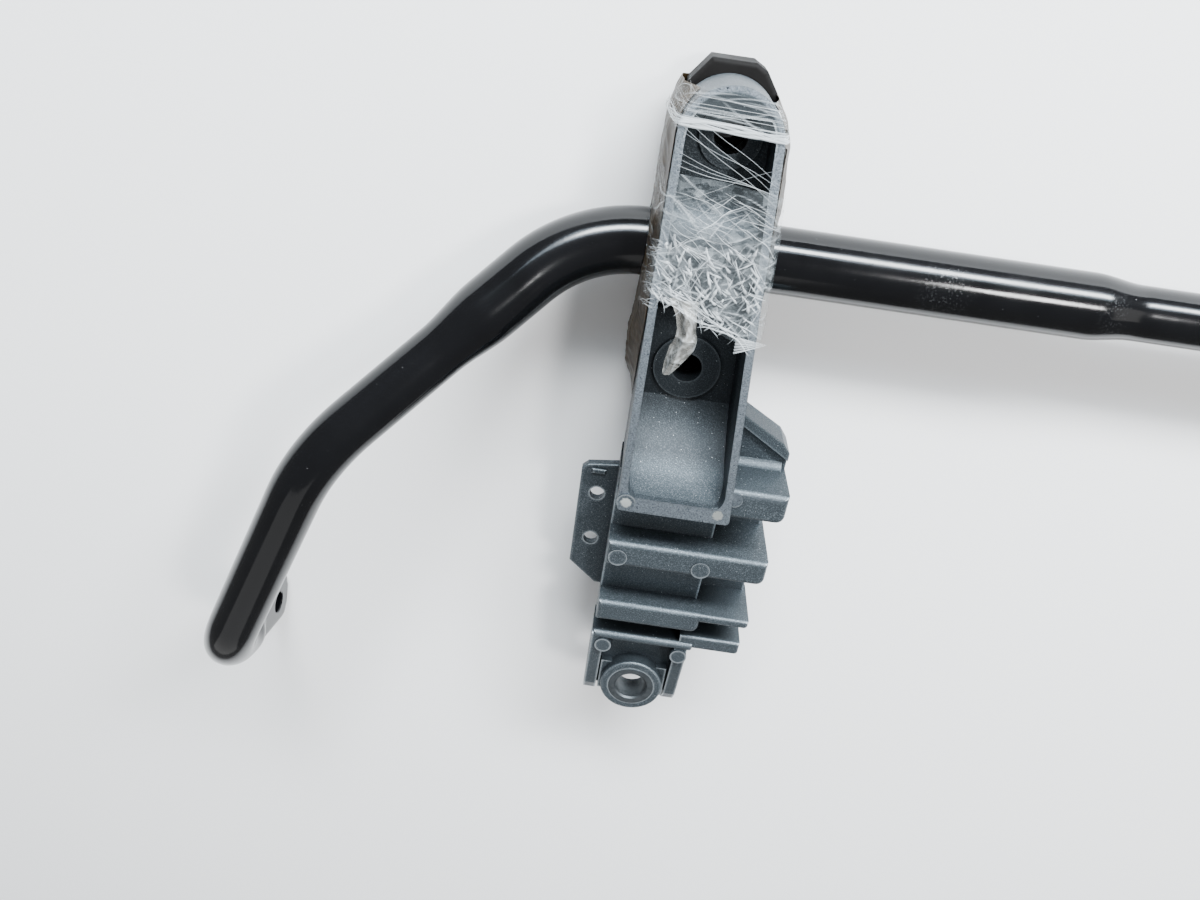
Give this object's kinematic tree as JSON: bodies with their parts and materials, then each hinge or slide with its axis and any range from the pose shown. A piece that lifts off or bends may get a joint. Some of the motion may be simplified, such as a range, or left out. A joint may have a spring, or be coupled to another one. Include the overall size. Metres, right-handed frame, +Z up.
{
  "type": "sway bar",
  "caption": "Vehicle anti-roll bar of black tube with bent arms, flat link ends and two aluminium brackets that hold rubber bushes, still wrapped in film and tape.",
  "frame": {"origin": "centre of the assembly's box, on the surface that the bar lies on", "axes": "+X along the bar, +Y up the brackets away from the arms, +Z up"},
  "size_m": [1.1526, 0.3472, 0.1017],
  "materials": {
    "black_gloss_paint": "gloss",
    "cast_aluminium": "as cast, bead-blasted",
    "black_clamp_coat": "satin",
    "bush_rubber": "matte",
    "sleeve_steel": "machined",
    "stretch_film": "clear, creased",
    "brown_tape": "glossy, wrinkled"
  },
  "bodies": {
    "bar": {"sway_bar": "black_gloss_paint"},
    "bracket_left": {"bracket_casting_left": "cast_aluminium", "rear_clamp_left": "black_clamp_coat", "bush_front_left": "bush_rubber", "bush_rear_left": "bush_rubber", "eye_sleeve_left": "sleeve_steel", "film_wrap_left": "stretch_film", "film_tail_left": "stretch_film", "packing_tape_left": "brown_tape"},
    "bracket_right": {"bracket_casting_right": "cast_aluminium", "rear_clamp_right": "black_clamp_coat", "bush_front_right": "bush_rubber", "bush_rear_right": "bush_rubber", "eye_sleeve_right": "sleeve_steel", "film_wrap_right": "stretch_film", "film_tail_right": "stretch_film", "packing_tape_right": "brown_tape"}
  },
  "joints": [
    {"name": "bracket_swing_left", "type": "hinge", "parent": "bar", "child": "bracket_left", "pos_m": [-0.35, 0.09579, 0.028], "axis": [1, 0, 0], "range_deg": [-25, 25]},
    {"name": "bracket_swing_right", "type": "hinge", "parent": "bar", "child": "bracket_right", "pos_m": [0.35, 0.09579, 0.028], "axis": [1, 0, 0], "range_deg": [-25, 25]}
  ]
}
